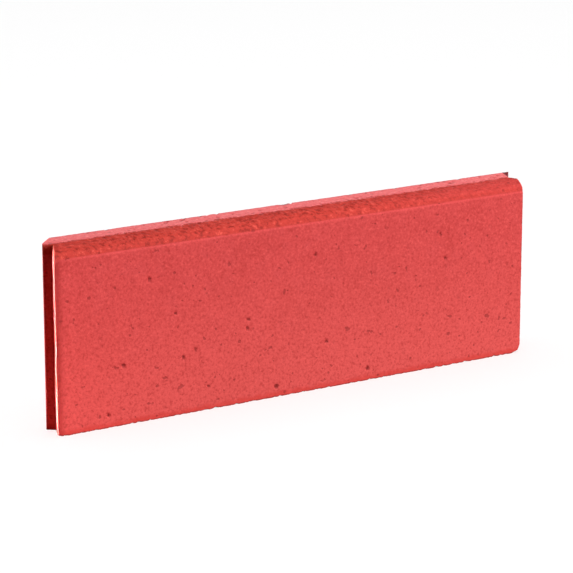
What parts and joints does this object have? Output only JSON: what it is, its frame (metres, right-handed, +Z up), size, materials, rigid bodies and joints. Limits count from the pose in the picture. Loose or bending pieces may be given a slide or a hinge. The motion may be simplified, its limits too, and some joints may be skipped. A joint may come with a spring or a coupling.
{
  "type": "garden edging",
  "caption": "Upright pressed concrete edging slab with one rounded upper edge, a notched left end and a right end with the nose that fits it.",
  "frame": {"origin": "middle of the footprint's box, on the ground under the slab", "axes": "+X along the slab from the notched end to the nose end, +Y from the face with the rounded edge to the back, +Z up"},
  "size_m": [0.6104, 0.05, 0.2],
  "materials": {
    "red_concrete": "through-coloured pressed concrete, fine matt grain"
  },
  "bodies": {
    "root": {"edging_slab": "red_concrete"}
  },
  "joints": []
}
